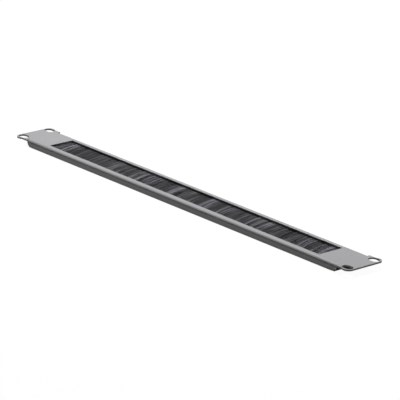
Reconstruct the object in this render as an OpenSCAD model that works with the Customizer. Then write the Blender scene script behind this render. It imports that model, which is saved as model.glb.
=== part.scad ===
// One-unit 19-inch rack panel with a brush-filled cable window.
// X runs along the panel, Y up its height when it is mounted, Z out of its front face.
// The origin is centred under the panel, level with the free edges of its two flanges.

/* [Panel sheet] */
// Overall width across both ears
panel_w = 482.6; // [300:0.1:600]
// Height of the ears, one rack unit less the usual clearance
ear_h = 43.7; // [42:0.1:88]
// Length of an ear past the flanges
ear_l = 17.8; // [17.2:0.1:22]
// How far the outer faces of the flanges lie inside the edges of the ears
flange_inset = 1.8; // [1.2:0.1:2.4]
// Depth from the front face to the free edge of a flange
panel_d = 7; // [6.6:0.1:20]
// Thickness of the steel sheet
sheet_t = 1.5; // [1:0.1:1.6]
// Outer radius of the two long folds
fold_r = 3; // [2:0.1:3.2]
// Radius of the four corners of the ears
ear_corner_r = 5.5; // [1:0.5:7]
// Radius of the lower corners of the flanges
flange_corner_r = 5.5; // [1:0.1:5.5]
// Width of the relief notch between a flange and an ear
relief_w = 0.8; // [0.6:0.1:2.4]

/* [Cable window] */
// Length of the face left between the window and the end of a flange
window_end = 28.3; // [25.5:0.1:60]
// Height of the strip of face left above and below the window
strip_h = 6.2; // [6:0.1:9]
// Radius of the window corners
window_corner_r = 0.5; // [0.2:0.1:3]

/* [Rack slots] */
// Distance from the end of an ear to the middle of its slots
slot_end = 7; // [6.6:0.1:8]
// Distance from the long edge of an ear to the middle of the nearer slot
slot_edge = 5.975; // [5.5:0.025:7]
// Length of a slot from end to end
slot_l = 11.6; // [9:0.1:12]
// Width of a slot
slot_w = 8; // [5:0.1:8.4]

/* [Brush] */
// How far the brush channel runs past the clamp at each end
channel_stub = 0.5; // [0.2:0.1:3]
// Depth of the brush channel from its mouth to its back
channel_depth = 3.8; // [3.7:0.1:4.6]
// Outer thickness of the brush channel
channel_h = 3.6; // [3.2:0.1:3.8]
// Wall of the brush channel
channel_wall = 0.6; // [0.4:0.05:0.7]
// How far each lip of the channel is crimped inwards at the mouth
crimp = 0.2; // [0.1:0.05:0.3]
// Diameter of the core wire
wire_d = 1.2; // [0.8:0.1:1.4]
// How far the fibres run past the window at each end
brush_end_lap = 2.3; // [1:0.1:2.6]
// How far the fibre tips lie past the lower edge of the window
tip_lap = 2.2; // [1:0.1:3]
// Mean thickness of the fibre pack outside the channel
pack_t = 1.9; // [1.6:0.1:2]
// Width of one tuft of fibres
tuft_w = 3; // [2.6:0.1:6]
// Height of a tuft above the hollows beside it
tuft_relief = 0.5; // [0.2:0.05:0.7]
// Largest sideways lean of the tips
tuft_lean = 5; // [0:0.5:8]
// How unevenly the tips are cut
tip_rag = 1.2; // [0:0.1:1.4]

/* [End clamps] */
// Length of a clamp along the panel
clamp_l = 19; // [16:0.5:20]
// Thickness of the clamp sheet
clamp_t = 1; // [0.8:0.1:1.2]
// Depth of the clamp's foot on the panel
clamp_foot = 10; // [9:0.5:12]
// Spacing of the two studs under a clamp
stud_pitch = 9.5; // [8.5:0.1:10]

/* [Fasteners] */
// Thread diameter of the weld studs
stud_d = 3; // [2.5:0.1:3]
// Width across the flats of a nut
nut_flats = 5.5; // [5:0.1:6]
// Height of a nut
nut_h = 2; // [1.6:0.1:2.2]
// Outer diameter of a flat washer
washer_d = 7; // [6:0.1:7.4]
// Thickness of a flat washer
washer_t = 0.5; // [0.3:0.05:0.6]
// Outer diameter of a split washer
split_washer_d = 5.9; // [5:0.1:6.2]
// Thickness of a split washer
split_washer_t = 0.7; // [0.5:0.05:0.8]

/* [Hidden] */
SIDES = ["left", "right"];
STUDS = [1, 2, 3, 4];
$fn = 64;

// Clearance between pieces that slide together
fit = 0.1;
// Clearance between the back of the channel and the flange
channel_gap = 0.5;
// Length of the squeezed fibres between the core wire and the tufts
loop_front = 0.8;
// Clearance between the ends of the fibres and the clamps
clamp_gap = 1;
// How far a stud stands out of its nut
stud_end = 0.4;
// Overshoot of a cutting solid past the face it cuts
cut = 1;
// Length of the flanges and height of the body between their outer faces
flange_l = panel_w - 2 * ear_l;
body_h = ear_h - 2 * flange_inset;
window_l = flange_l - 2 * window_end;
window_h = body_h - 2 * strip_h;
// Inner face of the sheet, which everything behind the panel is set against
inner_z = panel_d - sheet_t;
// Where the flat of the face ends and a fold begins
flat_y = body_h / 2 - fold_r;
// The channel's back stands clear of the fold's inner radius
channel_back_y = body_h / 2 - sheet_t - channel_gap;
channel_mouth_y = channel_back_y - channel_depth;
channel_z = inner_z - channel_h / 2;
// Radius and centre of the channel's rounded back
back_r = channel_h / 2;
wire_y = channel_back_y - back_r;
// Limits of the fibre pack
brush_l = window_l + 2 * brush_end_lap;
root_y = wire_y - wire_d / 2 - loop_front;
tip_y = -window_h / 2 - tip_lap;
root_half = back_r - channel_wall - crimp - fit / 2;
// The clamp's riser stands just in front of the channel
riser_y = channel_mouth_y - fit;
clamp_z = channel_z - back_r;
clamp_x = brush_l / 2 + clamp_gap + clamp_l / 2;
channel_l = 2 * clamp_x + clamp_l + 2 * channel_stub;
stud_y = riser_y - clamp_t - clamp_foot / 2;
stack_z = inner_z - clamp_t;
stud_l = clamp_t + washer_t + split_washer_t + nut_h + stud_end;

function side_sign(i) = i <= 2 ? -1 : 1;
function stud_x(i) = side_sign(i) * clamp_x + (i % 2 == 1 ? -1 : 1) * stud_pitch / 2;

// A rectangle with true round corners, centred on the origin
module rounded_plate(l, h, r) {
    square([l - 2 * r, h], center = true);
    square([l, h - 2 * r], center = true);
    for (x = [-1, 1], y = [-1, 1])
        translate([x * (l / 2 - r), y * (h / 2 - r)]) circle(r);
}

// A 2D section drawn as [Y, Z], run along X and centred on the origin
module along_x(length) {
    rotate([90, 0, 90])
        translate([0, 0, -length / 2]) linear_extrude(length) children();
}

// Section of the folded body: an inverted U with round folds
module body_section() {
    difference() {
        fold_outline(body_h, panel_d, fold_r);
        fold_outline(body_h - 2 * sheet_t, inner_z, fold_r - sheet_t);
        translate([-body_h / 2, -cut]) square([body_h, cut]);
    }
}

module fold_outline(width, top, r) {
    translate([-width / 2, -cut]) square([width, top - r + cut]);
    translate([-width / 2 + r, 0]) square([width - 2 * r, top]);
    for (y = [-1, 1])
        translate([y * (width / 2 - r), top - r]) circle(r);
}

// Side outline of a flange, whose lower corners are round
module flange_outline() {
    r = flange_corner_r;
    translate([-flange_l / 2, r]) square([flange_l, panel_d]);
    translate([-flange_l / 2 + r, 0]) square([flange_l - 2 * r, panel_d]);
    for (x = [-1, 1])
        translate([x * (flange_l / 2 - r), r]) circle(r);
}

// One ear, from inside the folded body out to its rounded end
module ear_outline(side) {
    notch_x = flange_l / 2 + relief_w;
    intersection() {
        rounded_plate(panel_w, ear_h, ear_corner_r);
        union() {
            translate([side > 0 ? notch_x : -panel_w / 2, -ear_h / 2])
                square([panel_w / 2 - notch_x, ear_h]);
            translate([side > 0 ? flange_l / 2 - relief_w : -notch_x - relief_w, -flat_y])
                square([3 * relief_w, 2 * flat_y]);
        }
    }
}

module rack_slot() {
    straight = slot_l - slot_w;
    square([straight, slot_w], center = true);
    for (x = [-1, 1])
        translate([x * straight / 2, 0]) circle(slot_w / 2);
}

module panel() {
    color("#AFAFB1") difference() {
        union() {
            intersection() {
                along_x(flange_l) body_section();
                rotate([90, 0, 0])
                    translate([0, 0, -body_h]) linear_extrude(2 * body_h) flange_outline();
            }
            for (side = [-1, 1])
                translate([0, 0, inner_z]) linear_extrude(sheet_t) ear_outline(side);
        }
        translate([0, 0, inner_z - cut]) linear_extrude(sheet_t + 2 * cut) {
            rounded_plate(window_l, window_h, window_corner_r);
            for (x = [-1, 1], y = [-1, 1])
                translate([x * (panel_w / 2 - slot_end), y * (ear_h / 2 - slot_edge)]) rack_slot();
        }
    }
}

// Section of the channel: a folded U with a round back and crimped lips
module channel_section() {
    inner_r = back_r - channel_wall;
    lip_l = 2 * crimp;
    difference() {
        union() {
            translate([wire_y, channel_z]) circle(back_r);
            translate([channel_mouth_y, channel_z - back_r])
                square([wire_y - channel_mouth_y, channel_h]);
        }
        translate([wire_y, channel_z]) circle(inner_r);
        translate([channel_mouth_y + lip_l, channel_z - inner_r])
            square([wire_y - channel_mouth_y - lip_l, 2 * inner_r]);
        translate([channel_mouth_y - cut, channel_z - inner_r + crimp])
            square([lip_l + 2 * cut, 2 * (inner_r - crimp)]);
    }
}

module brush_channel() {
    color("#8C8E90") along_x(channel_l) channel_section();
}

module core_wire() {
    color("#9A9C9E") along_x(channel_l) translate([wire_y, channel_z]) circle(wire_d / 2);
}

// Fibres: tufts as one closed surface, with a column of points on each crest and in each hollow,
// and behind them the loop that the doubled fibres make round the core wire
tufts = floor(brush_l / tuft_w);
columns = 2 * tufts + 1;
column_w = brush_l / (columns - 1);
fibre_l = root_y - tip_y;
// Rows of points along the fibres, as shares of their length: root, mouth of the channel, then free
mouth_s = (root_y - channel_mouth_y + fit) / fibre_l;
free_rows = 5;
rows = concat([0], [for (k = [0:free_rows]) mouth_s + (1 - mouth_s) * k / free_rows]);
// Columns over which the lean dies away at each end of the brush
end_columns = 8;
// Share of its thickness that the pack loses by the tips
tip_thinning = 0.25;
lean = rands(-1, 1, columns + 4, 11);
lift = rands(0, 1, columns, 23);
rag = rands(0, 1, columns, 37);

// Mean of five neighbours, the middle ones weighing most
function smooth(v, i) = (v[i] + 2 * v[i + 1] + 3 * v[i + 2] + 2 * v[i + 3] + v[i + 4]) / 9;
function is_crest(i) = i % 2 == 1;
function end_taper(i) = min(1, min(i, columns - 1 - i) / end_columns);
// How far a point has moved sideways, nothing at the root and most at the tip
function lean_x(i, s) = tuft_lean * smooth(lean, i) * s * s * end_taper(i);
// Crests stand out by up to half the relief, and hollows lie as deep below the mean
function relief(i) = (is_crest(i) ? 0.5 + lift[i] / 2 : -0.5) * tuft_relief / 2;
// Half thickness of the pack: squeezed in the mouth of the channel, thinner towards the tips
function half_t(i, s) =
    s <= mouth_s ? root_half : pack_t / 2 * (1 - tip_thinning * s) + relief(i);
function fibre_y(i, s) = root_y - s * fibre_l + (s == 1 ? rag[i] * tip_rag : 0);
function fibre_point(i, s, up) = [
    -brush_l / 2 + i * column_w + lean_x(i, s),
    fibre_y(i, s),
    channel_z + (up ? 1 : -1) * half_t(i, s)
];

module tuft_surface() {
    n = len(rows);
    ring = 2 * n;
    points = [
        for (i = [0:columns - 1]) each concat(
            [for (s = rows) fibre_point(i, s, true)],
            [for (k = [n - 1:-1:0]) fibre_point(i, rows[k], false)]
        )
    ];
    skin = [
        for (i = [0:columns - 2], k = [0:ring - 1])
            let (a = i * ring + k, b = i * ring + (k + 1) % ring)
            each [[a, b + ring, b], [a, a + ring, b + ring]]
    ];
    first = [for (k = [0:n - 2]) each [
        [k, ring - 2 - k, ring - 1 - k],
        [k, k + 1, ring - 2 - k]
    ]];
    last = [for (f = first) [for (j = [2, 1, 0]) f[j] + (columns - 1) * ring]];
    polyhedron(points, concat(skin, first, last), convexity = 8);
}

// Section of the fibres' loop round the core wire, which ends where the tufts begin
module loop_section() {
    loop_r = back_r - channel_wall - fit;
    front_y = root_y + fit / 4;
    difference() {
        union() {
            translate([wire_y, channel_z]) circle(loop_r);
            translate([front_y, channel_z - loop_r]) square([wire_y - front_y, 2 * loop_r]);
        }
        translate([wire_y, channel_z]) circle(wire_d / 2 + fit / 2);
    }
}

module bristles() {
    color("#2B2B2E") {
        tuft_surface();
        along_x(brush_l) loop_section();
    }
}

// Section of a clamp: a foot on the panel, a riser, and a lip under the channel
module clamp_section() {
    r = clamp_t;
    lip_end = wire_y;
    foot_end = riser_y - clamp_t - clamp_foot;
    translate([foot_end, inner_z - clamp_t]) square([clamp_foot, clamp_t]);
    translate([riser_y - clamp_t, clamp_z]) square([clamp_t, inner_z - clamp_z - r]);
    translate([riser_y - clamp_t, inner_z - clamp_t]) intersection() {
        circle(r);
        square(r);
    }
    translate([riser_y, clamp_z]) intersection() {
        circle(r);
        translate([-r, -r]) square(r);
    }
    translate([riser_y, clamp_z - clamp_t]) square([lip_end - riser_y, clamp_t]);
}

module clamp(side) {
    first_stud = side < 0 ? 1 : 3;
    color("#9EA0A2") difference() {
        translate([side * clamp_x, 0, 0]) along_x(clamp_l) clamp_section();
        for (i = [first_stud, first_stud + 1])
            translate([stud_x(i), stud_y, stack_z - cut])
                cylinder(h = clamp_t + 2 * cut, d = stud_d + 4 * fit);
    }
}

// A revolved or flat fastener, placed at a stud with its top at height z
module at_stud(i, z) {
    translate([stud_x(i), stud_y, z]) children();
}

module weld_stud(i) {
    tip = 0.3;
    r = stud_d / 2 - fit / 2;
    color("#A8A9A6") at_stud(i, inner_z - stud_l)
        rotate_extrude() polygon([[0, 0], [r - tip, 0], [r, tip], [r, stud_l], [0, stud_l]]);
}

module flat_washer(i) {
    color("#B4B5B2") at_stud(i, stack_z - washer_t) difference() {
        cylinder(h = washer_t, d = washer_d);
        translate([0, 0, -cut]) cylinder(h = washer_t + 2 * cut, d = stud_d + 2 * fit);
    }
}

module split_washer(i) {
    gap = 0.5;
    slant = 20;
    color("#B4B5B2") at_stud(i, stack_z - washer_t - split_washer_t) difference() {
        cylinder(h = split_washer_t, d = split_washer_d);
        translate([0, 0, -cut]) cylinder(h = split_washer_t + 2 * cut, d = stud_d + fit);
        translate([0, -gap / 2, -cut]) rotate([slant, 0, 0])
            cube([split_washer_d, gap, split_washer_t + 2 * cut + gap]);
    }
}

module nut(i) {
    edge = 0.05;
    corner = nut_flats / cos(30) / 2;
    chamfer = (corner - nut_flats / 2) * tan(30) + edge;
    color("#BCBDBA") at_stud(i, stack_z - washer_t - split_washer_t - nut_h) difference() {
        intersection() {
            cylinder(h = nut_h, r = corner, $fn = 6);
            rotate_extrude() polygon([
                [0, 0], [nut_flats / 2, 0], [corner, chamfer],
                [corner, nut_h - chamfer], [nut_flats / 2, nut_h], [0, nut_h]
            ]);
        }
        translate([0, 0, -cut]) cylinder(h = nut_h + 2 * cut, d = stud_d);
    }
}

panel();
brush_channel();
core_wire();
bristles();
clamp(-1);  // left_clamp
clamp(1);  // right_clamp
for (i = STUDS) weld_stud(i);
for (i = STUDS) flat_washer(i);
for (i = STUDS) split_washer(i);
for (i = STUDS) nut(i);
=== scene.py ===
"""Finishes a 19-inch rack brush panel: coated sheet, nylon brush, plated metalwork and a plain studio."""

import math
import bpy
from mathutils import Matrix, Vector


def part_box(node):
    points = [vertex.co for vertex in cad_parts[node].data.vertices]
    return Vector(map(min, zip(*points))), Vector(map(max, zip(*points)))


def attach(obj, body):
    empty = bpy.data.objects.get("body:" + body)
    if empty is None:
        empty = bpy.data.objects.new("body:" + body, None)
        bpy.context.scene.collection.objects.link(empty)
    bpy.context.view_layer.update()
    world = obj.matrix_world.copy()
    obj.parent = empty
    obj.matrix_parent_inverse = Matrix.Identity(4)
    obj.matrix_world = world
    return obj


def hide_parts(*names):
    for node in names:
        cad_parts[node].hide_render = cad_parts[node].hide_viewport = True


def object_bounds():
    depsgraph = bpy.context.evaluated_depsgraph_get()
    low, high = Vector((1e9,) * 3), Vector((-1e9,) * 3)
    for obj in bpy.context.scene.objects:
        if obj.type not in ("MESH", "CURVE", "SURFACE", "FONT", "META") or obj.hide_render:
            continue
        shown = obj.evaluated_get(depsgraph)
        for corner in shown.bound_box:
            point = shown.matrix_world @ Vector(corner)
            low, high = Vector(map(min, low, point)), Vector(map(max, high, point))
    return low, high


bl_info = {
    "name": "Rack Brush Panel Finish",
    "version": (1, 0, 0),
    "blender": (4, 5, 0),
    "location": "View3D > Sidebar > Brush Panel",
    "description": "Combs the brush and finishes the sheet and metalwork of a rack panel",
    "category": "Object",
}

import bmesh
import bpy
from bpy.props import FloatProperty, FloatVectorProperty, IntProperty, PointerProperty
from bpy.types import Operator, Panel, PropertyGroup
from mathutils import Matrix, Vector

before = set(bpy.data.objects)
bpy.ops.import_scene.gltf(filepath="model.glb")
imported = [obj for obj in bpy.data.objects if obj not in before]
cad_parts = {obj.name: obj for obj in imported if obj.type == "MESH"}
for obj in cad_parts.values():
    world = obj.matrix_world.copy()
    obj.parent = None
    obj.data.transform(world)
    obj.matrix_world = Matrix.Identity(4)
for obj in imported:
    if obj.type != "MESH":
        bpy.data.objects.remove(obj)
cad_low, cad_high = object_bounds()

MM = 0.001
NUMBERS = (1, 2, 3, 4)
STUDS = [f"weld_stud_{i}" for i in NUMBERS]
WASHERS = [f"{kind}_washer_{i}" for kind in ("flat", "split") for i in NUMBERS]
NUTS = [f"nut_{i}" for i in NUMBERS]
CLAMPS = ["left_clamp", "right_clamp"]


def linear(hex_colour):
    """Linear RGBA of an sRGB hex colour such as "B0B0B2"."""
    def channel(text):
        value = int(text, 16) / 255
        return value / 12.92 if value <= 0.04045 else ((value + 0.055) / 1.055) ** 2.4

    return tuple(channel(hex_colour[i:i + 2]) for i in (0, 2, 4)) + (1.0,)


def shaded(colour, factor):
    """A linear colour made lighter or darker by a factor, as RGBA."""
    return tuple(value * factor for value in tuple(colour)[:3]) + (1.0,)


def add(tree, kind, inputs=None, **settings):
    """Adds a node with its settings.

    An input is a constant, a socket, or a node whose first output feeds it.
    """
    node = tree.nodes.new(kind)
    for name, value in settings.items():
        setattr(node, name, value)
    shown = [socket for socket in node.inputs if socket.enabled]
    for key, value in (inputs or {}).items():
        socket = shown[key] if isinstance(key, int) else next(s for s in shown if s.name == key)
        if isinstance(value, bpy.types.Node):
            value = next(s for s in value.outputs if s.enabled)
        if isinstance(value, bpy.types.NodeSocket):
            tree.links.new(value, socket)
        else:
            socket.default_value = value
    return node


def new_material(name):
    """An empty node material and its tree."""
    material = bpy.data.materials.new(name)
    material.use_nodes = True
    material.node_tree.nodes.clear()
    return material, material.node_tree


def powder_coat(sheet):
    """Polyester powder coat, sprayed and baked on folded steel.

    It gives an even, half-matt grey with a fine orange-peel skin that softens every highlight,
    and rounds each cut edge of the sheet.
    """
    film_drift_size = 45 * MM
    film_shade = 0.025
    roughness_spread = 0.05
    material, tree = new_material("Powder coat, light grey")
    place = add(tree, "ShaderNodeTexCoord").outputs["Object"]
    peel = add(tree, "ShaderNodeTexNoise",
               {"Vector": place, "Scale": 1 / (sheet.peel_size * MM), "Detail": 3.0, "Roughness": 0.55})
    # Film thickness drifts over centimetres, which shows as a faint change of grey
    film = add(tree, "ShaderNodeTexNoise", {"Vector": place, "Scale": 1 / film_drift_size, "Detail": 2.0})
    drift = add(tree, "ShaderNodeMapRange", {"Value": film, "From Min": 0.3, "From Max": 0.7})
    shade = add(tree, "ShaderNodeMix", {"Factor": drift, "A": shaded(sheet.paint_colour, 1 - film_shade),
                                        "B": shaded(sheet.paint_colour, 1 + film_shade)},
                data_type="RGBA")
    gloss = add(tree, "ShaderNodeMapRange", {"Value": peel,
                                             "To Min": sheet.paint_roughness - roughness_spread,
                                             "To Max": sheet.paint_roughness + roughness_spread})
    edge = add(tree, "ShaderNodeBevel", {"Radius": sheet.edge_round * MM}, samples=6)
    bump = add(tree, "ShaderNodeBump", {"Strength": 0.35, "Distance": sheet.peel_depth * MM,
                                        "Height": peel, "Normal": edge})
    shader = add(tree, "ShaderNodeBsdfPrincipled", {"Base Color": shade, "Roughness": gloss, "IOR": 1.5,
                                                    "Normal": bump})
    add(tree, "ShaderNodeOutputMaterial", {"Surface": shader})
    return material


def zinc_plate(name, colour, roughness):
    """Bright zinc plating on steel, barrel-plated and passivated.

    It gives a slightly blue silver with a soft cloudiness from part to part.
    """
    cloud_size = 2.5 * MM
    grain_size = 0.25 * MM
    darkest = 0.84
    glossier = 0.08
    duller = 0.1
    material, tree = new_material(name)
    place = add(tree, "ShaderNodeTexCoord").outputs["Object"]
    cloud = add(tree, "ShaderNodeTexNoise", {"Vector": place, "Scale": 1 / cloud_size, "Detail": 4.0})
    grain = add(tree, "ShaderNodeTexNoise", {"Vector": place, "Scale": 1 / grain_size, "Detail": 2.0})
    spread = add(tree, "ShaderNodeMapRange", {"Value": cloud, "From Min": 0.3, "From Max": 0.7})
    shade = add(tree, "ShaderNodeMix", {"Factor": spread, "A": shaded(linear(colour), darkest),
                                        "B": linear(colour)}, data_type="RGBA")
    gloss = add(tree, "ShaderNodeMapRange", {"Value": cloud, "To Min": roughness - glossier,
                                             "To Max": roughness + duller})
    bump = add(tree, "ShaderNodeBump", {"Strength": 0.15, "Distance": 0.02 * MM, "Height": grain})
    shader = add(tree, "ShaderNodeBsdfPrincipled", {"Base Color": shade, "Metallic": 1.0,
                                                    "Roughness": gloss, "Normal": bump})
    add(tree, "ShaderNodeOutputMaterial", {"Surface": shader})
    return material


def galvanised_strip():
    """Hot-dip galvanised strip, rolled, folded and crimped along its length.

    It gives a dull silver with millimetre spangle and rolling lines along X.
    """
    spangle_size = 3.5 * MM
    rolling_line_width = 0.3 * MM
    material, tree = new_material("Galvanised strip steel")
    place = add(tree, "ShaderNodeTexCoord").outputs["Object"]
    spangle = add(tree, "ShaderNodeTexVoronoi", {"Vector": place, "Scale": 1 / spangle_size})
    stretched = add(tree, "ShaderNodeMapping", {"Vector": place, "Scale": (0.02, 1.0, 1.0)})
    rolling = add(tree, "ShaderNodeTexNoise", {"Vector": stretched, "Scale": 1 / rolling_line_width,
                                               "Detail": 2.0})
    shade = add(tree, "ShaderNodeMix", {"Factor": spangle.outputs["Color"], "A": linear("86898C"),
                                        "B": linear("A9ACAF")}, data_type="RGBA")
    bump = add(tree, "ShaderNodeBump", {"Strength": 0.2, "Distance": 0.02 * MM, "Height": rolling})
    shader = add(tree, "ShaderNodeBsdfPrincipled", {"Base Color": shade, "Metallic": 1.0,
                                                    "Roughness": 0.42, "Normal": bump})
    add(tree, "ShaderNodeOutputMaterial", {"Surface": shader})
    return material


def drawn_wire():
    """Drawn mild-steel wire, lightly oiled: a grey metal with die lines along its length."""
    die_line_width = 0.1 * MM
    material, tree = new_material("Drawn steel wire")
    place = add(tree, "ShaderNodeTexCoord").outputs["Object"]
    stretched = add(tree, "ShaderNodeMapping", {"Vector": place, "Scale": (0.01, 1.0, 1.0)})
    lines = add(tree, "ShaderNodeTexNoise", {"Vector": stretched, "Scale": 1 / die_line_width})
    shade = add(tree, "ShaderNodeMix", {"Factor": lines, "A": linear("6E7072"), "B": linear("9B9D9F")},
                data_type="RGBA")
    shader = add(tree, "ShaderNodeBsdfPrincipled", {"Base Color": shade, "Metallic": 1.0,
                                                    "Roughness": 0.38})
    add(tree, "ShaderNodeOutputMaterial", {"Surface": shader})
    return material


def nylon_fibre(brush):
    """Extruded black nylon 6 fibre, crimped, cut and combed.

    It gives a soft charcoal with a satin streak on each fibre. Its colour is painted lighter on some tufts
    and wisps as a painted highlight and darker on others as painted shade, over each fibre's own random
    tone.
    """
    material, tree = new_material("Nylon fibre, black")
    tone_and_painted_light = add(tree, "ShaderNodeAttribute", attribute_name="tone_and_painted_light").outputs["Fac"]
    darkest, lightest = (shaded(brush.fibre_colour, factor) for factor in brush.shade_range)
    # The tone mixes each fibre's own colour with painted highlight and shade
    shade = add(tree, "ShaderNodeMix", {"Factor": tone_and_painted_light, "A": darkest, "B": lightest}, data_type="RGBA")
    shader = add(tree, "ShaderNodeBsdfPrincipled", {"Base Color": shade, "IOR": 1.53, "Roughness": 0.4})
    add(tree, "ShaderNodeOutputMaterial", {"Surface": shader})
    return material


def dress(nodes, material):
    """Puts one material on each of the named pieces of the frame."""
    for name in nodes:
        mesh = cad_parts[name].data
        mesh.materials.clear()
        mesh.materials.append(material)


def mirrored_prisms(name, outline, low_z, high_z):
    """An object with an upright prism in each corner of the sheet, outlined in the far right one."""
    prisms = bmesh.new()
    for side_x in (-1, 1):
        for side_y in (-1, 1):
            rings = [[prisms.verts.new((side_x * x, side_y * y, z)) for x, y in outline]
                     for z in (low_z, high_z)]
            prisms.faces.new(rings[0])
            prisms.faces.new(rings[1])
            for i in range(len(outline)):
                prisms.faces.new((rings[0][i - 1], rings[0][i], rings[1][i], rings[1][i - 1]))
    bmesh.ops.recalc_face_normals(prisms, faces=prisms.faces)
    mesh = bpy.data.meshes.new(name)
    prisms.to_mesh(mesh)
    prisms.free()
    shape = bpy.data.objects.new(name, mesh)
    bpy.context.scene.collection.objects.link(shape)
    return shape


def new_tree(name, inputs):
    """An empty geometry tree with a geometry input and output and its named inputs of (name, kind)."""
    tree = bpy.data.node_groups.new(name, "GeometryNodeTree")
    tree.interface.new_socket(name="Geometry", in_out="INPUT", socket_type="NodeSocketGeometry")
    tree.interface.new_socket(name="Geometry", in_out="OUTPUT", socket_type="NodeSocketGeometry")
    for label, kind in inputs:
        tree.interface.new_socket(name=label, in_out="INPUT", socket_type="NodeSocket" + kind)
    return tree, add(tree, "NodeGroupInput").outputs


def run_tree(tree, name, points, values):
    """Runs a geometry tree on a mesh of loose points and returns the result as a plain mesh object."""
    start = bpy.data.meshes.new(name + "_points")
    start.from_pydata(points, [], [])
    carrier = bpy.data.objects.new(name + "_carrier", start)
    bpy.context.scene.collection.objects.link(carrier)
    modifier = carrier.modifiers.new("Build", "NODES")
    modifier.node_group = tree
    for item in tree.interface.items_tree:
        if item.in_out == "INPUT" and item.name in values:
            modifier[item.identifier] = values[item.name]
    evaluated = carrier.evaluated_get(bpy.context.evaluated_depsgraph_get())
    mesh = bpy.data.meshes.new_from_object(evaluated)
    carrier.modifiers.remove(modifier)
    bpy.data.objects.remove(carrier)
    mesh.name = name
    made = bpy.data.objects.new(name, mesh)
    bpy.context.scene.collection.objects.link(made)
    return made


def finish_tree(tree, geometry, material):
    """Ends a geometry tree: real geometry with its material."""
    real = add(tree, "GeometryNodeRealizeInstances", {"Geometry": geometry})
    coated = add(tree, "GeometryNodeSetMaterial", {"Geometry": real, "Material": material})
    add(tree, "NodeGroupOutput", {"Geometry": coated})


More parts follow.
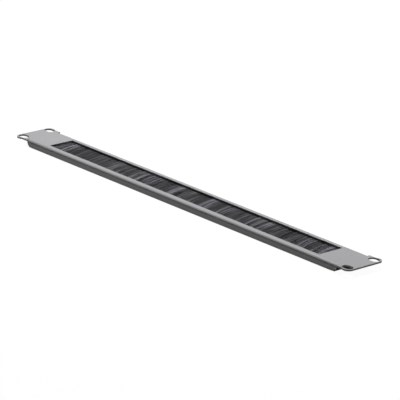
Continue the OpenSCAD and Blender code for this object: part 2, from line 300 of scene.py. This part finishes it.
def fibre_tree(material):
    """Geometry tree that combs one stretch of the brush.

    Each fibre starts behind the core wire, goes over or under it, out of the channel and across the window.
    Its "share" runs from 0 there to 1 at the tip.
    """
    floats = ("Left", "Right", "Brush Half Length", "Wire Y", "Wire Z", "Wire Radius", "Loop Radius",
              "Mouth Y", "Mouth Half Height", "Tip Y", "Cut Rag", "Half Pack", "Rise", "Ceiling",
              "Fibre Diameter", "Lean", "End Taper")
    swings = ("Sweep", "Tuft", "Wisp")
    inputs = [(name, "Float") for name in floats]
    inputs += [(name + " Width", "Float") for name in swings]
    inputs += [(name + " Swing", "Vector") for name in swings]
    tree, given = new_tree("Comb fibres", inputs + [("Fibres", "Int"), ("Seed", "Int")])

    # A point for each fibre holds its own chances: place along the stretch, layer in the pack and length
    points = add(tree, "GeometryNodePoints", {"Count": given["Fibres"]})
    chance = add(tree, "FunctionNodeRandomValue", {"Min": (0.0, -1.0, 0.0), "Max": (1.0, 1.0, 1.0),
                                                   "Seed": given["Seed"]}, data_type="FLOAT_VECTOR")
    # The second set of chances needs a seed that no other stretch has
    seed_gap = 1000.0
    own_seed = add(tree, "ShaderNodeMath", {0: given["Seed"], 1: seed_gap})
    habit = add(tree, "FunctionNodeRandomValue", {"Min": (-1.0, -1.0, -1.0), "Max": (1.0, 1.0, 1.0),
                                                  "Seed": own_seed}, data_type="FLOAT_VECTOR")
    cloud = points
    for name, value in (("fibre_chance", chance), ("fibre_habit", habit)):
        cloud = add(tree, "GeometryNodeStoreNamedAttribute",
                    {"Geometry": cloud, "Name": name, "Value": value},
                    data_type="FLOAT_VECTOR", domain="POINT")
    line = add(tree, "GeometryNodeCurvePrimitiveLine", {"End": (0.0, -1.0, 0.0)})
    strand = add(tree, "GeometryNodeResampleCurve", {"Curve": line, "Count": 8})
    strands = add(tree, "GeometryNodeInstanceOnPoints", {"Points": cloud, "Instance": strand})
    strands = add(tree, "GeometryNodeRealizeInstances", {"Geometry": strands})

    kept = [add(tree, "GeometryNodeInputNamedAttribute", {"Name": name}, data_type="FLOAT_VECTOR")
            for name in ("fibre_chance", "fibre_habit")]
    chances, habits = (add(tree, "ShaderNodeSeparateXYZ", {"Vector": value}).outputs for value in kept)
    share = add(tree, "GeometryNodeSplineParameter").outputs["Factor"]
    loop_share = 0.06
    free = add(tree, "ShaderNodeMapRange", {"Value": share, "From Min": loop_share})
    layer = chances["Y"]
    root_x = add(tree, "ShaderNodeMapRange", {"Value": chances["X"], "To Min": given["Left"],
                                              "To Max": given["Right"]})

    # Three sizes of chance wave along the brush: each bends and lifts the fibres that it meets, and paints
    # their tone lighter or darker as painted light and shade
    swing = (0.0, 0.0, 0.0)
    # Each has its own change through the depth of the pack and along the fibre
    changes = {"Sweep": (0.15, 0.4), "Tuft": (0.3, 0.5), "Wisp": (0.5, 0.3)}
    for name, (depth_change, length_change) in changes.items():
        along = add(tree, "ShaderNodeMath", {0: root_x, 1: given[name + " Width"]}, operation="DIVIDE")
        deep = add(tree, "ShaderNodeMath", {0: layer, 1: depth_change}, operation="MULTIPLY")
        out = add(tree, "ShaderNodeMath", {0: free, 1: length_change}, operation="MULTIPLY")
        spot = add(tree, "ShaderNodeCombineXYZ", {"X": along, "Y": deep, "Z": out})
        noise = add(tree, "ShaderNodeTexNoise", {"Vector": spot, "Scale": 1.0, "Detail": 1.0})
        centred = add(tree, "ShaderNodeVectorMath", {0: noise.outputs["Color"], 1: (0.5, 0.5, 0.5)},
                      operation="SUBTRACT")
        swing = add(tree, "ShaderNodeVectorMath", {0: centred, 1: given[name + " Swing"], 2: swing},
                    operation="MULTIPLY_ADD")
    lean, lift, tone_and_painted_light = add(tree, "ShaderNodeSeparateXYZ", {"Vector": swing}).outputs

    # Along X: the fibre leaves the channel straight and leans more and more, but not past the brush's end
    bend_power = 1.7
    own_lean = 0.5 * MM
    bend = add(tree, "ShaderNodeMath", {0: free, 1: bend_power}, operation="POWER")
    lean = add(tree, "ShaderNodeMath", {0: lean, 1: given["Lean"]})
    lean = add(tree, "ShaderNodeMath", {0: habits["X"], 1: own_lean, 2: lean}, operation="MULTIPLY_ADD")
    off_middle = add(tree, "ShaderNodeMath", {0: root_x}, operation="ABSOLUTE")
    to_end = add(tree, "ShaderNodeMath", {0: given["Brush Half Length"], 1: off_middle},
                 operation="SUBTRACT")
    taper = add(tree, "ShaderNodeMapRange", {"Value": to_end, "From Max": given["End Taper"]})
    lean = add(tree, "ShaderNodeMath", {0: lean, 1: taper}, operation="MULTIPLY")
    x = add(tree, "ShaderNodeMath", {0: bend, 1: lean, 2: root_x}, operation="MULTIPLY_ADD")
    left_end = add(tree, "ShaderNodeMath", {0: given["Brush Half Length"], 1: -1.0}, operation="MULTIPLY")
    x = add(tree, "ShaderNodeClamp", {"Value": x, "Min": left_end, "Max": given["Brush Half Length"]})

    # Along Y: a quarter turn from the back of the wire to its top or bottom, then straight to the cut tip
    quarter_turn = math.pi / 2
    turn = add(tree, "ShaderNodeMapRange", {"Value": share, "From Max": loop_share, "To Max": quarter_turn})
    back = add(tree, "ShaderNodeMath", {0: turn}, operation="COSINE")
    tip = add(tree, "ShaderNodeMath", {0: chances["Z"], 1: given["Cut Rag"], 2: given["Tip Y"]},
              operation="MULTIPLY_ADD")
    y = add(tree, "ShaderNodeMapRange", {"Value": free, "To Min": given["Wire Y"], "To Max": tip})
    y = add(tree, "ShaderNodeMath", {0: back, 1: given["Loop Radius"], 2: y}, operation="MULTIPLY_ADD")

    # Along Z: over or under the wire, squeezed in the mouth, then free to lift, and thinner by the tip
    tip_thickness = 0.8
    hold_power = 36.0
    side = add(tree, "ShaderNodeMath", {0: layer}, operation="SIGN")
    depth = add(tree, "ShaderNodeMath", {0: layer}, operation="ABSOLUTE")
    climb = add(tree, "ShaderNodeMath", {0: turn}, operation="SINE")
    looped = add(tree, "ShaderNodeMapRange", {"Value": depth, "To Min": given["Wire Radius"],
                                              "To Max": given["Loop Radius"]})
    looped = add(tree, "ShaderNodeMath", {0: looped, 1: side}, operation="MULTIPLY")
    looped = add(tree, "ShaderNodeMath", {0: looped, 1: climb}, operation="MULTIPLY")
    squeezed = add(tree, "ShaderNodeMath", {0: layer, 1: given["Mouth Half Height"]},
                   operation="MULTIPLY")
    thinner = add(tree, "ShaderNodeMapRange", {"Value": free, "To Min": 1.0, "To Max": tip_thickness})
    raised = add(tree, "ShaderNodeMath", {0: lift, 1: bend, 2: layer}, operation="MULTIPLY_ADD")
    spread = add(tree, "ShaderNodeMath", {0: raised, 1: given["Half Pack"]}, operation="MULTIPLY")
    spread = add(tree, "ShaderNodeMath", {0: spread, 1: thinner, 2: given["Rise"]},
                 operation="MULTIPLY_ADD")
    in_channel = add(tree, "ShaderNodeMapRange", {"Value": y, "From Min": given["Mouth Y"],
                                                  "From Max": given["Wire Y"]})
    past_mouth = add(tree, "ShaderNodeMapRange", {"Value": y, "From Min": given["Tip Y"],
                                                  "From Max": given["Mouth Y"]})
    hold = add(tree, "ShaderNodeMath", {0: past_mouth, 1: hold_power}, operation="POWER")
    z = add(tree, "ShaderNodeMix", {"Factor": hold, "A": spread, "B": squeezed}, data_type="FLOAT")
    z = add(tree, "ShaderNodeMix", {"Factor": in_channel, "A": z, "B": looped}, data_type="FLOAT")
    z = add(tree, "ShaderNodeMath", {0: z, 1: given["Wire Z"]})
    z = add(tree, "ShaderNodeMath", {0: z, 1: given["Ceiling"]}, operation="MINIMUM")
    place = add(tree, "ShaderNodeCombineXYZ", {"X": x, "Y": y, "Z": z})
    combed = add(tree, "GeometryNodeSetPosition", {"Geometry": strands, "Position": place})

    # Tone is 0 on the darkest fibre and 1 on the lightest, and its power keeps the light ones few. It holds
    # each fibre's own random tone and the painted highlight and shade of the waves
    own_tone = 0.16
    middle_tone = 0.42
    tone_power = 2.6
    tone_and_painted_light = add(tree, "ShaderNodeMath", {0: habits["Y"], 1: own_tone, 2: tone_and_painted_light}, operation="MULTIPLY_ADD")
    tone_and_painted_light = add(tree, "ShaderNodeMath", {0: tone_and_painted_light, 1: middle_tone}, use_clamp=True)
    tone_and_painted_light = add(tree, "ShaderNodeMath", {0: tone_and_painted_light, 1: tone_power}, operation="POWER")
    toned = add(tree, "GeometryNodeStoreNamedAttribute",
                {"Geometry": combed, "Name": "tone_and_painted_light", "Value": tone_and_painted_light}, data_type="FLOAT", domain="POINT")
    radius = add(tree, "ShaderNodeMath", {0: given["Fibre Diameter"], 1: 0.5}, operation="MULTIPLY")
    ring = add(tree, "GeometryNodeCurvePrimitiveCircle", {"Resolution": 4, "Radius": radius})
    tubes = add(tree, "GeometryNodeCurveToMesh",
                {"Curve": toned, "Profile Curve": ring, "Fill Caps": True})
    finish_tree(tree, add(tree, "GeometryNodeSetShadeSmooth", {"Geometry": tubes}), material)
    return tree


def stud_tree(material):
    """Geometry tree that puts a stud on each point: a cylinder whose wall follows the thread's helix."""
    tree, given = new_tree("Thread studs", [("Radius", "Float"), ("Length", "Float"), ("Pitch", "Float"),
                                            ("Thread Depth", "Float"), ("Tip Chamfer", "Float"),
                                            ("Sides", "Int"), ("Rings", "Int")])
    stud = add(tree, "GeometryNodeMeshCylinder",
               {"Vertices": given["Sides"], "Side Segments": given["Rings"],
                "Radius": given["Radius"], "Depth": given["Length"]})
    place = add(tree, "GeometryNodeInputPosition")
    x, y, z = add(tree, "ShaderNodeSeparateXYZ", {"Vector": place}).outputs
    angle = add(tree, "ShaderNodeMath", {0: y, 1: x}, operation="ARCTAN2")
    turns = add(tree, "ShaderNodeMath", {0: angle, 1: 2 * math.pi}, operation="DIVIDE")
    climbed = add(tree, "ShaderNodeMath", {0: z, 1: given["Pitch"]}, operation="DIVIDE")
    phase = add(tree, "ShaderNodeMath", {0: climbed, 1: turns}, operation="SUBTRACT")
    # A thread's flanks rise and fall evenly once in each pitch
    flank = add(tree, "ShaderNodeMath", {0: phase, 1: 0.5}, operation="PINGPONG")
    groove = add(tree, "ShaderNodeMapRange",
                 {"Value": flank, "From Max": 0.5, "To Max": given["Thread Depth"]})
    half = add(tree, "ShaderNodeMath", {0: given["Length"], 1: -0.5}, operation="MULTIPLY")
    chamfer_end = add(tree, "ShaderNodeMath", {0: half, 1: given["Tip Chamfer"]})
    chamfer = add(tree, "ShaderNodeMapRange", {"Value": z, "From Min": half, "From Max": chamfer_end,
                                               "To Min": given["Tip Chamfer"], "To Max": 0.0})
    cut = add(tree, "ShaderNodeMath", {0: groove, 1: chamfer}, operation="MAXIMUM")
    left = add(tree, "ShaderNodeMath", {0: given["Radius"], 1: cut}, operation="SUBTRACT")
    narrow = add(tree, "ShaderNodeMath", {0: left, 1: given["Radius"]}, operation="DIVIDE")
    scale = add(tree, "ShaderNodeCombineXYZ", {"X": narrow, "Y": narrow, "Z": 1.0})
    threaded = add(tree, "ShaderNodeVectorMath", {0: place, 1: scale}, operation="MULTIPLY")
    stud = add(tree, "GeometryNodeSetPosition", {"Geometry": stud, "Position": threaded})
    placed = add(tree, "GeometryNodeInstanceOnPoints", {"Points": given["Geometry"], "Instance": stud})
    finish_tree(tree, placed, material)
    return tree


class PanelFinish(PropertyGroup):
    """Sizes and colours of the sheet and its paint."""

    lobe_radius: FloatProperty(
        name="Lobe radius", description="Radius of the ear round each slot", unit="LENGTH",
        min=0.0045, max=0.008, default=0.0059)
    lobe_fillet: FloatProperty(
        name="Lobe fillet", description="Radius between an ear's neck and its lobe", unit="LENGTH",
        min=0.0005, max=0.004, default=0.0015)
    neck_y: FloatProperty(
        name="Neck half height", description="Half the height of an ear's neck", unit="LENGTH",
        min=0.02, max=0.0216, default=0.0205)
    flange_end: FloatProperty(
        name="Flange end", description="Where the flanges end, from the middle of the panel", unit="LENGTH",
        min=0.2, max=0.23, default=0.2235)
    paint_colour: FloatVectorProperty(
        name="Paint colour", description="Colour of the powder coat", subtype="COLOR", size=3,
        min=0, max=1, default=linear("AEAEB0")[:3])
    paint_roughness: FloatProperty(
        name="Paint roughness", description="Mean roughness of the coat", subtype="FACTOR",
        min=0.2, max=0.9, default=0.32)
    peel_size: FloatProperty(
        name="Peel size", description="Spacing of the orange-peel texture in millimetres",
        min=0.2, max=4, default=0.9)
    peel_depth: FloatProperty(
        name="Peel depth", description="Depth of the orange-peel texture in millimetres",
        min=0, max=0.2, default=0.03)
    edge_round: FloatProperty(
        name="Edge rounding", description="Radius that the coat gives a cut edge, in millimetres",
        min=0, max=0.5, default=0.35)


class BrushFinish(PropertyGroup):
    """Sizes and colours of the brush."""

    fibre_colour: FloatVectorProperty(
        name="Fibre colour", description="Mean colour of the nylon", subtype="COLOR", size=3,
        min=0, max=1, default=linear("403F44")[:3])
    # The lightest shade stands in for painted highlights on the tufts
    shade_range: FloatVectorProperty(
        name="Shade range", description="Shade of the darkest and of the lightest fibre against the mean",
        size=2, min=0, max=8, default=(0.1, 6.0))
    fibre_diameter: FloatProperty(
        name="Fibre diameter", description="Diameter of one fibre", unit="LENGTH",
        min=0.0001, max=0.0006, default=0.00025)
    fibres_per_mm: FloatProperty(
        name="Fibres per millimetre", description="Fibres in each millimetre of brush length",
        min=5, max=32, default=26)
    lean: FloatProperty(
        name="Lean", description="Mean sideways lean of the tips", unit="LENGTH",
        min=-0.012, max=0.012, default=0.007)
    cut_rag: FloatProperty(
        name="Cut rag", description="How unevenly the tips are cut", unit="LENGTH",
        min=0, max=0.003, default=0.0012)
    waves: FloatVectorProperty(
        name="Waves", description="Widths of a sweep, a tuft and a wisp of fibres in millimetres",
        size=3, min=0.5, max=80, default=(18.0, 5.0, 1.0))
    stretches: IntProperty(
        name="Stretches", description="Pieces that the brush is combed in", min=4, max=8, default=4)
    seed: IntProperty(
        name="Seed", description="Seed of the chance in the brush", min=0, max=999, default=11)


class StageFinish(PropertyGroup):
    """Camera and light."""

    azimuth: FloatProperty(
        name="Azimuth", description="Bearing of the camera from the front of the table, in degrees",
        min=-180, max=180, default=49.53)
    elevation: FloatProperty(
        name="Elevation", description="Height of the camera above the table, in degrees",
        min=-90, max=90, default=18.73)
    roll: FloatProperty(
        name="Roll", description="Turn of the camera about its own axis, in degrees",
        min=-45, max=45, default=1.28)
    distance: FloatProperty(
        name="Distance", description="Distance of the camera from the panel", unit="LENGTH",
        min=0.5, max=8, default=2.7346)
    framing: FloatVectorProperty(
        name="Framing", description="How far the camera moves right and up to place the panel",
        size=2, unit="LENGTH", default=(0.01031, -0.00534))
    lens: FloatProperty(
        name="Lens", description="Focal length in millimetres", min=20, max=400, default=264.6)
    key_light: FloatProperty(
        name="Key light", description="Power of the soft box in watts", min=0, max=500, default=26)
    floor_bounce: FloatProperty(
        name="Floor bounce", description="Share of the light that the floor throws back",
        subtype="FACTOR", min=0, max=1, default=0.15)
    shadow: FloatProperty(
        name="Shadow", description="Depth of the panel's shadow on the paper", subtype="FACTOR",
        min=0, max=1, default=0.04)
    # The hollow and the ear hollow are boxes on the floor that are painted dark, a painted shadow
    hollow: FloatVectorProperty(
        name="Hollow", description="Half length and half depth of the hollow between the folds",
        size=2, unit="LENGTH", default=(0.2214, 0.0195))
    ear_painted_shadow: FloatVectorProperty(
        name="Ear hollow", description="Half length and half depth of the dark under the ears",
        size=2, unit="LENGTH", default=(0.228, 0.0095))
    lamp_place: FloatVectorProperty(
        name="Lamp place", description="Where the soft box hangs", size=3, unit="LENGTH",
        default=(-0.42, 0.52, 1.3))


class BRUSHPANEL_OT_paint_sheet(Operator):
    """Trim the ears to a lobe round each slot, close their relief slits and powder coat the sheet"""

    bl_idname = "brushpanel.paint_sheet"
    bl_label = "Paint Sheet"

    def execute(self, context):
        sheet = context.scene.brushpanel_sheet
        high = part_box("panel")[1]
        thick = 1.5 * MM
        # A relief slit is 0.8 mm wide and begins at 17.05 mm, so the fill overlaps the sheet round it
        slit_root = 16.95 * MM
        slit_width = 1.0 * MM
        slit_end = sheet.flange_end + slit_width
        slit = [(sheet.flange_end, slit_root), (slit_end, slit_root),
                (slit_end, sheet.neck_y), (sheet.flange_end, sheet.neck_y)]
        ear = self.trim_outline(sheet, high)
        trim = mirrored_prisms("ear_trim", ear, high[2] - 2 * thick, high[2] + thick)
        fill = mirrored_prisms("slit_fill", slit, high[2] - thick, high[2])
        carrier = self.merged_copy("panel", "folded_sheet")
        for operation, part in (("DIFFERENCE", trim), ("UNION", fill)):
            cut = carrier.modifiers.new(operation, "BOOLEAN")
            cut.object = part
            cut.operation = operation
            cut.solver = "EXACT"
        evaluated = carrier.evaluated_get(context.evaluated_depsgraph_get())
        mesh = bpy.data.meshes.new_from_object(evaluated)
        for spent in (carrier, trim, fill):
            bpy.data.objects.remove(spent)
        # The cuts leave slivers where two arcs touch, which are merged away
        sliver = 0.005 * MM
        speck = 0.002 * MM
        crease_angle = math.radians(25)
        cleaned = bmesh.new()
        cleaned.from_mesh(mesh)
        bmesh.ops.remove_doubles(cleaned, verts=cleaned.verts, dist=sliver)
        bmesh.ops.dissolve_degenerate(cleaned, edges=cleaned.edges, dist=speck)
        bmesh.ops.triangulate(cleaned, faces=cleaned.faces)
        cleaned.to_mesh(mesh)
        cleaned.free()
        mesh.shade_smooth()
        mesh.set_sharp_from_angle(angle=crease_angle)
        mesh.name = "folded_sheet"
        made = bpy.data.objects.new("folded_sheet", mesh)
        context.scene.collection.objects.link(made)
        even = made.modifiers.new("Even shading", "WEIGHTED_NORMAL")
        even.keep_sharp = True
        mesh.materials.clear()
        mesh.materials.append(powder_coat(sheet))
        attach(made, "root")
        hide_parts("panel")
        return {"FINISHED"}

    def merged_copy(self, node, name):
        """A copy of a frame piece whose loose triangles are joined at their corners."""
        same_place = 0.001 * MM
        joined = bmesh.new()
        joined.from_mesh(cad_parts[node].data)
        bmesh.ops.remove_doubles(joined, verts=joined.verts, dist=same_place)
        mesh = bpy.data.meshes.new(name)
        joined.to_mesh(mesh)
        joined.free()
        for layer in ("custom_normal", "sharp_edge", "sharp_face"):
            if layer in mesh.attributes:
                mesh.attributes.remove(mesh.attributes[layer])
        carrier = bpy.data.objects.new(name + "_carrier", mesh)
        bpy.context.scene.collection.objects.link(carrier)
        return carrier

    def trim_outline(self, sheet, high):
        """What comes off the far right ear: from its neck, round a fillet, to the top of its lobe."""
        lobe = sheet.lobe_radius
        fillet = sheet.lobe_fillet
        steps = 8
        lobe_x = high[0] - lobe
        lobe_y = high[1] - lobe
        fillet_y = sheet.neck_y + fillet
        fillet_x = lobe_x - math.sqrt((lobe + fillet) ** 2 - (fillet_y - lobe_y) ** 2)
        meet = math.atan2(lobe_y - fillet_y, lobe_x - fillet_x)
        outside = high[1] + 1 * MM
        # The cut starts in the relief slit, clear of the flange
        start = sheet.flange_end + 0.4 * MM
        outline = [(start, outside), (start, sheet.neck_y)]
        down = -math.pi / 2
        for i in range(steps + 1):
            angle = down + (meet - down) * i / steps
            outline.append((fillet_x + fillet * math.cos(angle), fillet_y + fillet * math.sin(angle)))
        for i in range(1, steps + 1):
            angle = (math.pi + meet) + (-math.pi / 2 - meet) * i / steps
            outline.append((lobe_x + lobe * math.cos(angle), lobe_y + lobe * math.sin(angle)))
        return outline + [(lobe_x, outside)]


class BRUSHPANEL_OT_plate_metalwork(Operator):
    """Plate the channel, the core wire, the clamps, the washers and the nuts"""

    bl_idname = "brushpanel.plate_metalwork"
    bl_label = "Plate Metalwork"

    def execute(self, context):
        dress(["brush_channel"], galvanised_strip())
        dress(["core_wire"], drawn_wire())
        dress(CLAMPS, zinc_plate("Zinc-plated sheet", "AEB0B1", 0.36))
        dress(WASHERS + NUTS, zinc_plate("Bright zinc fastener", "BDBFBE", 0.28))
        return {"FINISHED"}


class BRUSHPANEL_OT_thread_studs(Operator):
    """Cut the thread on the four weld studs"""

    bl_idname = "brushpanel.thread_studs"
    bl_label = "Thread Studs"

    def execute(self, context):
        boxes = [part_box(name) for name in STUDS]
        low, high = boxes[0]
        length = high[2] - low[2]
        pitch = 0.5 * MM
        # A metric thread is 0.54 of its pitch deep
        thread_depth = 0.54 * pitch
        rings_per_turn = 8
        made = run_tree(
            stud_tree(zinc_plate("Bright zinc stud", "B3B5B3", 0.3)), "threaded_studs",
            [[(a + b) / 2 for a, b in zip(*box)] for box in boxes],
            {"Radius": (high[0] - low[0]) / 2, "Length": length, "Pitch": pitch,
             "Thread Depth": thread_depth, "Tip Chamfer": 0.3 * MM, "Sides": 32,
             "Rings": round(length / pitch * rings_per_turn)})
        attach(made, "root")
        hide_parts(*STUDS)
        return {"FINISHED"}


class BRUSHPANEL_OT_comb_brush(Operator):
    """Comb the nylon fibres of the brush"""

    bl_idname = "brushpanel.comb_brush"
    bl_label = "Comb Brush"

    def execute(self, context):
        brush = context.scene.brushpanel_brush
        tree = fibre_tree(nylon_fibre(brush))
        low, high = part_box("bristles")
        wire_low, wire_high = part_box("core_wire")
        channel_low, channel_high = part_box("brush_channel")
        radius = brush.fibre_diameter / 2
        wire_radius = (wire_high[1] - wire_low[1]) / 2 + radius
        wire_y, wire_z = ((wire_low[i] + wire_high[i]) / 2 for i in (1, 2))
        sweep, tuft, wisp = (width * MM for width in brush.waves)
        length = high[0] - low[0]
        stretch = length / brush.stretches
        # The pack is a little thinner than its box, which leaves room for the tufts' lift
        pack_share = 0.9
        sizes = {
            "Brush Half Length": length / 2 - radius,
            "Wire Y": wire_y,
            "Wire Z": wire_z,
            "Wire Radius": wire_radius,
            "Loop Radius": high[1] - wire_y - radius,
            "Mouth Y": channel_low[1],
            "Mouth Half Height": 0.85 * MM,
            "Tip Y": low[1],
            "Cut Rag": brush.cut_rag,
            "Half Pack": (high[2] - low[2]) / 2 * pack_share,
            # The pack bulges against the sheet where it leaves the channel
            "Rise": 0.6 * MM,
            "Ceiling": channel_high[2] - radius,
            "Fibre Diameter": brush.fibre_diameter,
            "Lean": brush.lean,
            "End Taper": 12 * MM,
            "Sweep Width": sweep,
            "Tuft Width": tuft,
            "Wisp Width": wisp,
            # Sideways lean in metres, lift as a share of the pack, and tone, whose swings are painted light
            # and shade
            "Sweep Swing": (8 * MM, 0.3, 1.1),
            "Tuft Swing": (6 * MM, 0.9, 1.6),
            "Wisp Swing": (2.5 * MM, 0.6, 2.4),
        }
        for i in range(brush.stretches):
            left = low[0] + i * stretch
            made = run_tree(tree, f"brush_fibres_{i + 1}", [], {
                **sizes, "Left": left, "Right": left + stretch,
                "Fibres": int(brush.fibres_per_mm * stretch / MM), "Seed": brush.seed + i})
            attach(made, "root")
            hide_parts("bristles")
        return {"FINISHED"}


class BRUSHPANEL_OT_build_stage(Operator):
    """Lay the floor, hang the lights and place the camera"""

    bl_idname = "brushpanel.build_stage"
    bl_label = "Build Stage"

    def execute(self, context):
        stage = context.scene.brushpanel_stage
        self.lay_floor(stage)
        self.light_world(context.scene)
        self.hang_light(stage)
        self.place_camera(context.scene, stage)
        context.scene.view_settings.view_transform = "Standard"
        return {"FINISHED"}

    def lay_floor(self, stage):
        """White paper sweep that keeps the panel's faint shadow, with a shadow painted on it between the
        folds and under the ears.

        To the eye and to gloss it is white. To the light that it throws back it is a mid grey.
        """
        painted_shadow_edge = 0.4 * MM
        painted_shadow_blend = 2 * MM
        painted_shadow_level = 0.015
        shadow_gain = 1.3
        material, tree = new_material("Paper sweep")
        place = add(tree, "ShaderNodeTexCoord").outputs["Object"]
        # The painted shadow reaches along the folds, and in a narrower strip on under the ears
        distance = add(tree, "ShaderNodeVectorMath", {0: place}, operation="ABSOLUTE")
        past = []
        for half_length, half_depth in (stage.hollow, stage.ear_painted_shadow):
            beyond = add(tree, "ShaderNodeVectorMath", {0: distance, 1: (half_length, half_depth, 0.0)},
                         operation="SUBTRACT")
            x, y, _ = add(tree, "ShaderNodeSeparateXYZ", {"Vector": beyond}).outputs
            past.append(add(tree, "ShaderNodeMath", {0: x, 1: y}, operation="MAXIMUM"))
        outside = add(tree, "ShaderNodeMath", {0: past[0], 1: past[1], 2: painted_shadow_blend},
                      operation="SMOOTH_MIN")
        # Inside these boxes the paper's glow drops to a painted shadow of the panel
        glow_with_painted_shadow = add(tree, "ShaderNodeMapRange", {"Value": outside, "From Min": -painted_shadow_edge,
                                                "From Max": painted_shadow_edge, "To Min": painted_shadow_level,
                                                "To Max": 1 - stage.shadow})
        paper = add(tree, "ShaderNodeEmission", {"Strength": glow_with_painted_shadow})
        shadow = add(tree, "ShaderNodeBsdfDiffuse", {"Color": (*[shadow_gain * stage.shadow] * 3, 1)})
        white = add(tree, "ShaderNodeAddShader", {0: paper, 1: shadow})
        bounce = add(tree, "ShaderNodeBsdfDiffuse", {"Color": (*[stage.floor_bounce] * 3, 1)})
        path = add(tree, "ShaderNodeLightPath").outputs
        seen = add(tree, "ShaderNodeMath", {0: path["Is Camera Ray"], 1: path["Is Glossy Ray"]},
                   operation="MAXIMUM")
        seen = add(tree, "ShaderNodeMath", {0: seen, 1: path["Is Transmission Ray"]}, operation="MAXIMUM")
        mixed = add(tree, "ShaderNodeMixShader", {0: seen, 1: bounce, 2: white})
        add(tree, "ShaderNodeOutputMaterial", {"Surface": mixed})
        half = 60.0
        z = cad_low[2]
        mesh = bpy.data.meshes.new("floor")
        mesh.from_pydata([(-half, -half, z), (half, -half, z), (half, half, z), (-half, half, z)], [],
                         [(0, 1, 2, 3)])
        mesh.materials.append(material)
        floor = bpy.data.objects.new("floor", mesh)
        bpy.context.scene.collection.objects.link(floor)

    def light_world(self, scene):
        """Dim room with a lighter ceiling, so that a fold darkens where it stops mirroring the floor."""
        ceiling_from = 0.4
        wall_level = 0.005
        ceiling_level = 0.14
        world = bpy.data.worlds.new("Studio")
        world.use_nodes = True
        tree = world.node_tree
        tree.nodes.clear()
        direction = add(tree, "ShaderNodeTexCoord").outputs["Generated"]
        height = add(tree, "ShaderNodeSeparateXYZ", {"Vector": direction}).outputs["Z"]
        strength = add(tree, "ShaderNodeMapRange", {"Value": height, "From Min": ceiling_from,
                                                    "From Max": 1.0, "To Min": wall_level,
                                                    "To Max": ceiling_level})
        sky = add(tree, "ShaderNodeBackground", {"Color": (1, 1, 1, 1), "Strength": strength})
        add(tree, "ShaderNodeOutputWorld", {"Surface": sky})
        scene.world = world

    def hang_light(self, stage):
        """One small soft box, high above the table, towards its far side and left end."""
        lamp = bpy.data.lights.new("Soft box", "AREA")
        lamp.shape = "RECTANGLE"
        lamp.size = 0.5
        lamp.size_y = 0.4
        lamp.energy = stage.key_light
        box = bpy.data.objects.new("Soft box", lamp)
        bpy.context.scene.collection.objects.link(box)
        spot = Vector(stage.lamp_place)
        box.location = spot
        box.rotation_euler = (-spot).to_track_quat("-Z", "Y").to_euler()

    def place_camera(self, scene, stage):
        """Long lens that looks at the middle of the face from the given bearing and height."""
        a, e, r = (math.radians(v) for v in (stage.azimuth, stage.elevation, stage.roll))
        back = Vector((math.sin(a) * math.cos(e), -math.cos(a) * math.cos(e), math.sin(e)))
        right = Vector((math.cos(a), math.sin(a), 0))
        up = back.cross(right)
        right, up = (math.cos(r) * right + math.sin(r) * up, math.cos(r) * up - math.sin(r) * right)
        middle = Vector(((cad_low[0] + cad_high[0]) / 2, (cad_low[1] + cad_high[1]) / 2, cad_high[2]))
        camera = bpy.data.cameras.new("Camera")
        camera.lens = stage.lens
        camera.sensor_width = 36.0
        camera.clip_end = 200.0
        holder = bpy.data.objects.new("Camera", camera)
        scene.collection.objects.link(holder)
        turn = Matrix((right, up, back)).transposed().to_4x4()
        moved = right * stage.framing[0] + up * stage.framing[1]
        holder.matrix_world = Matrix.Translation(middle + back * stage.distance + moved) @ turn
        scene.camera = holder


class BRUSHPANEL_PT_finish(Panel):
    """Lists the steps that finish the panel"""

    bl_label = "Brush Panel"
    bl_idname = "BRUSHPANEL_PT_finish"
    bl_space_type = "VIEW_3D"
    bl_region_type = "UI"
    bl_category = "Brush Panel"

    def draw(self, context):
        for operator in OPERATORS:
            self.layout.operator(operator.bl_idname)


OPERATORS = (BRUSHPANEL_OT_paint_sheet, BRUSHPANEL_OT_plate_metalwork, BRUSHPANEL_OT_thread_studs,
             BRUSHPANEL_OT_comb_brush, BRUSHPANEL_OT_build_stage)
GROUPS = {
    "brushpanel_sheet": PanelFinish,
    "brushpanel_brush": BrushFinish,
    "brushpanel_stage": StageFinish,
}


def register():
    for cls in (*GROUPS.values(), *OPERATORS, BRUSHPANEL_PT_finish):
        bpy.utils.register_class(cls)
    for name, group in GROUPS.items():
        setattr(bpy.types.Scene, name, PointerProperty(type=group))


def unregister():
    for name in GROUPS:
        delattr(bpy.types.Scene, name)
    for cls in (BRUSHPANEL_PT_finish, *OPERATORS, *GROUPS.values()):
        bpy.utils.unregister_class(cls)


def main():
    register()
    bpy.ops.brushpanel.paint_sheet()
    bpy.ops.brushpanel.plate_metalwork()
    bpy.ops.brushpanel.thread_studs()
    bpy.ops.brushpanel.comb_brush()
    bpy.ops.brushpanel.build_stage()


if __name__ == "__main__":
    main()
